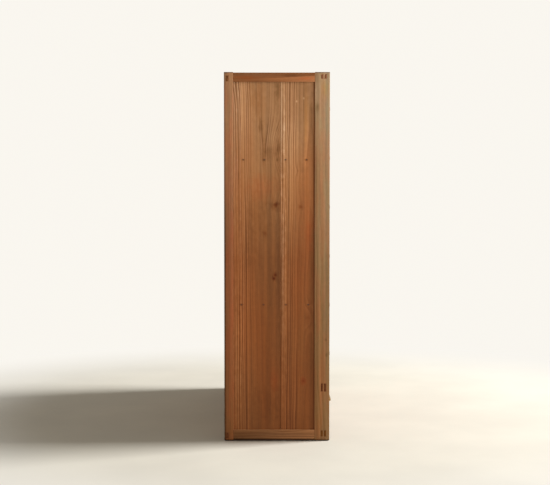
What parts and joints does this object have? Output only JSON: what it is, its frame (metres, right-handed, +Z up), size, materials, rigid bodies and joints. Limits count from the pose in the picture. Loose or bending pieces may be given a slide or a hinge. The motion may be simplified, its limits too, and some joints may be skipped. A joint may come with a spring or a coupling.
{
  "type": "seed storage cabinet",
  "caption": "Tall shallow wooden cabinet of small sliding drawers over wider drawers, with posts, through-tenoned rails and boarded sides; stands on the floor and stores seed.",
  "frame": {"origin": "on the floor, at the centre of the rectangle that the cabinet and its pulls cover", "axes": "+Z up; the drawers face -Y and slide out along -Y; +X to the right as seen from the front"},
  "size_m": [0.909, 0.318, 1.061],
  "materials": {
    "front_post_wood": "waxed, worn, grey-brown",
    "frame_wood": "waxed, red-brown",
    "side_board_wood": "waxed, red-brown, clear grain",
    "inner_wood": "bare, aged",
    "shelf_wood": "waxed front edges",
    "drawer_wood": "waxed fronts, bare insides",
    "brass": "aged, dull",
    "iron": "blackened, a little rust"
  },
  "bodies": {
    "cabinet": {"front_left_post": "front_post_wood", "front_right_post": "front_post_wood", "rear_left_post": "frame_wood", "rear_right_post": "frame_wood", "front_top_rail": "frame_wood", "front_middle_rail": "frame_wood", "front_bottom_rail": "frame_wood", "rear_top_rail": "frame_wood", "rear_bottom_rail": "frame_wood", "left_top_rail": "frame_wood", "right_top_rail": "frame_wood", "left_bottom_rail": "frame_wood", "right_bottom_rail": "frame_wood", "side_board_nails": "iron", "left_side_boards": "side_board_wood", "right_side_boards": "side_board_wood", "side_battens": "inner_wood", "back_boards": "inner_wood", "top_boards": "frame_wood", "bottom_boards": "inner_wood", "left_lining_board": "inner_wood", "right_lining_board": "inner_wood", "middle_shelf": "shelf_wood", "seed_shelf_1": "shelf_wood", "seed_shelf_2": "shelf_wood", "seed_shelf_3": "shelf_wood", "seed_shelf_4": "shelf_wood", "seed_shelf_5": "shelf_wood", "left_divider": "shelf_wood", "centre_divider": "shelf_wood", "right_divider": "shelf_wood", "wide_drawer_divider": "shelf_wood"},
    "seed_drawer_row1_column1": {"seed_drawer_row1_column1": "drawer_wood"},
    "seed_drawer_row1_column2": {"seed_drawer_row1_column2": "drawer_wood"},
    "seed_drawer_row1_column3": {"seed_drawer_row1_column3": "drawer_wood"},
    "seed_drawer_row1_column4": {"seed_drawer_row1_column4": "drawer_wood"},
    "seed_drawer_row2_column1": {"seed_drawer_row2_column1": "drawer_wood"},
    "seed_drawer_row2_column2": {"seed_drawer_row2_column2": "drawer_wood"},
    "seed_drawer_row2_column3": {"seed_drawer_row2_column3": "drawer_wood"},
    "seed_drawer_row2_column4": {"seed_drawer_row2_column4": "drawer_wood"},
    "seed_drawer_row3_column1": {"seed_drawer_row3_column1": "drawer_wood"},
    "seed_drawer_row3_column2": {"seed_drawer_row3_column2": "drawer_wood"},
    "seed_drawer_row3_column3": {"seed_drawer_row3_column3": "drawer_wood"},
    "seed_drawer_row3_column4": {"seed_drawer_row3_column4": "drawer_wood"},
    "seed_drawer_row4_column1": {"seed_drawer_row4_column1": "drawer_wood"},
    "seed_drawer_row4_column2": {"seed_drawer_row4_column2": "drawer_wood"},
    "seed_drawer_row4_column3": {"seed_drawer_row4_column3": "drawer_wood"},
    "seed_drawer_row4_column4": {"seed_drawer_row4_column4": "drawer_wood"},
    "seed_drawer_row5_column1": {"seed_drawer_row5_column1": "drawer_wood"},
    "seed_drawer_row5_column2": {"seed_drawer_row5_column2": "drawer_wood"},
    "seed_drawer_row5_column3": {"seed_drawer_row5_column3": "drawer_wood"},
    "seed_drawer_row5_column4": {"seed_drawer_row5_column4": "drawer_wood"},
    "seed_drawer_row6_column1": {"seed_drawer_row6_column1": "drawer_wood"},
    "seed_drawer_row6_column2": {"seed_drawer_row6_column2": "drawer_wood"},
    "seed_drawer_row6_column3": {"seed_drawer_row6_column3": "drawer_wood"},
    "seed_drawer_row6_column4": {"seed_drawer_row6_column4": "drawer_wood"},
    "wide_drawer_left": {"wide_drawer_left": "drawer_wood", "cup_pull_left": "brass"},
    "wide_drawer_right": {"wide_drawer_right": "drawer_wood", "cup_pull_right": "brass"}
  },
  "joints": [
    {"name": "seed_drawer_row1_column1_slide", "type": "slide", "parent": "cabinet", "child": "seed_drawer_row1_column1", "axis": [0, -1, 0], "range_m": [0, 0.2]},
    {"name": "seed_drawer_row1_column2_slide", "type": "slide", "parent": "cabinet", "child": "seed_drawer_row1_column2", "axis": [0, -1, 0], "range_m": [0, 0.2]},
    {"name": "seed_drawer_row1_column3_slide", "type": "slide", "parent": "cabinet", "child": "seed_drawer_row1_column3", "axis": [0, -1, 0], "range_m": [0, 0.2]},
    {"name": "seed_drawer_row1_column4_slide", "type": "slide", "parent": "cabinet", "child": "seed_drawer_row1_column4", "axis": [0, -1, 0], "range_m": [0, 0.2]},
    {"name": "seed_drawer_row2_column1_slide", "type": "slide", "parent": "cabinet", "child": "seed_drawer_row2_column1", "axis": [0, -1, 0], "range_m": [0, 0.2]},
    {"name": "seed_drawer_row2_column2_slide", "type": "slide", "parent": "cabinet", "child": "seed_drawer_row2_column2", "axis": [0, -1, 0], "range_m": [0, 0.2]},
    {"name": "seed_drawer_row2_column3_slide", "type": "slide", "parent": "cabinet", "child": "seed_drawer_row2_column3", "axis": [0, -1, 0], "range_m": [0, 0.2]},
    {"name": "seed_drawer_row2_column4_slide", "type": "slide", "parent": "cabinet", "child": "seed_drawer_row2_column4", "axis": [0, -1, 0], "range_m": [0, 0.2]},
    {"name": "seed_drawer_row3_column1_slide", "type": "slide", "parent": "cabinet", "child": "seed_drawer_row3_column1", "axis": [0, -1, 0], "range_m": [0, 0.2]},
    {"name": "seed_drawer_row3_column2_slide", "type": "slide", "parent": "cabinet", "child": "seed_drawer_row3_column2", "axis": [0, -1, 0], "range_m": [0, 0.2]},
    {"name": "seed_drawer_row3_column3_slide", "type": "slide", "parent": "cabinet", "child": "seed_drawer_row3_column3", "axis": [0, -1, 0], "range_m": [0, 0.2]},
    {"name": "seed_drawer_row3_column4_slide", "type": "slide", "parent": "cabinet", "child": "seed_drawer_row3_column4", "axis": [0, -1, 0], "range_m": [0, 0.2]},
    {"name": "seed_drawer_row4_column1_slide", "type": "slide", "parent": "cabinet", "child": "seed_drawer_row4_column1", "axis": [0, -1, 0], "range_m": [0, 0.2]},
    {"name": "seed_drawer_row4_column2_slide", "type": "slide", "parent": "cabinet", "child": "seed_drawer_row4_column2", "axis": [0, -1, 0], "range_m": [0, 0.2]},
    {"name": "seed_drawer_row4_column3_slide", "type": "slide", "parent": "cabinet", "child": "seed_drawer_row4_column3", "axis": [0, -1, 0], "range_m": [0, 0.2]},
    {"name": "seed_drawer_row4_column4_slide", "type": "slide", "parent": "cabinet", "child": "seed_drawer_row4_column4", "axis": [0, -1, 0], "range_m": [0, 0.2]},
    {"name": "seed_drawer_row5_column1_slide", "type": "slide", "parent": "cabinet", "child": "seed_drawer_row5_column1", "axis": [0, -1, 0], "range_m": [0, 0.2]},
    {"name": "seed_drawer_row5_column2_slide", "type": "slide", "parent": "cabinet", "child": "seed_drawer_row5_column2", "axis": [0, -1, 0], "range_m": [0, 0.2]},
    {"name": "seed_drawer_row5_column3_slide", "type": "slide", "parent": "cabinet", "child": "seed_drawer_row5_column3", "axis": [0, -1, 0], "range_m": [0, 0.2]},
    {"name": "seed_drawer_row5_column4_slide", "type": "slide", "parent": "cabinet", "child": "seed_drawer_row5_column4", "axis": [0, -1, 0], "range_m": [0, 0.2]},
    {"name": "seed_drawer_row6_column1_slide", "type": "slide", "parent": "cabinet", "child": "seed_drawer_row6_column1", "axis": [0, -1, 0], "range_m": [0, 0.2]},
    {"name": "seed_drawer_row6_column2_slide", "type": "slide", "parent": "cabinet", "child": "seed_drawer_row6_column2", "axis": [0, -1, 0], "range_m": [0, 0.2]},
    {"name": "seed_drawer_row6_column3_slide", "type": "slide", "parent": "cabinet", "child": "seed_drawer_row6_column3", "axis": [0, -1, 0], "range_m": [0, 0.2]},
    {"name": "seed_drawer_row6_column4_slide", "type": "slide", "parent": "cabinet", "child": "seed_drawer_row6_column4", "axis": [0, -1, 0], "range_m": [0, 0.2]},
    {"name": "wide_drawer_left_slide", "type": "slide", "parent": "cabinet", "child": "wide_drawer_left", "axis": [0, -1, 0], "range_m": [0, 0.2]},
    {"name": "wide_drawer_right_slide", "type": "slide", "parent": "cabinet", "child": "wide_drawer_right", "axis": [0, -1, 0], "range_m": [0, 0.2]}
  ]
}
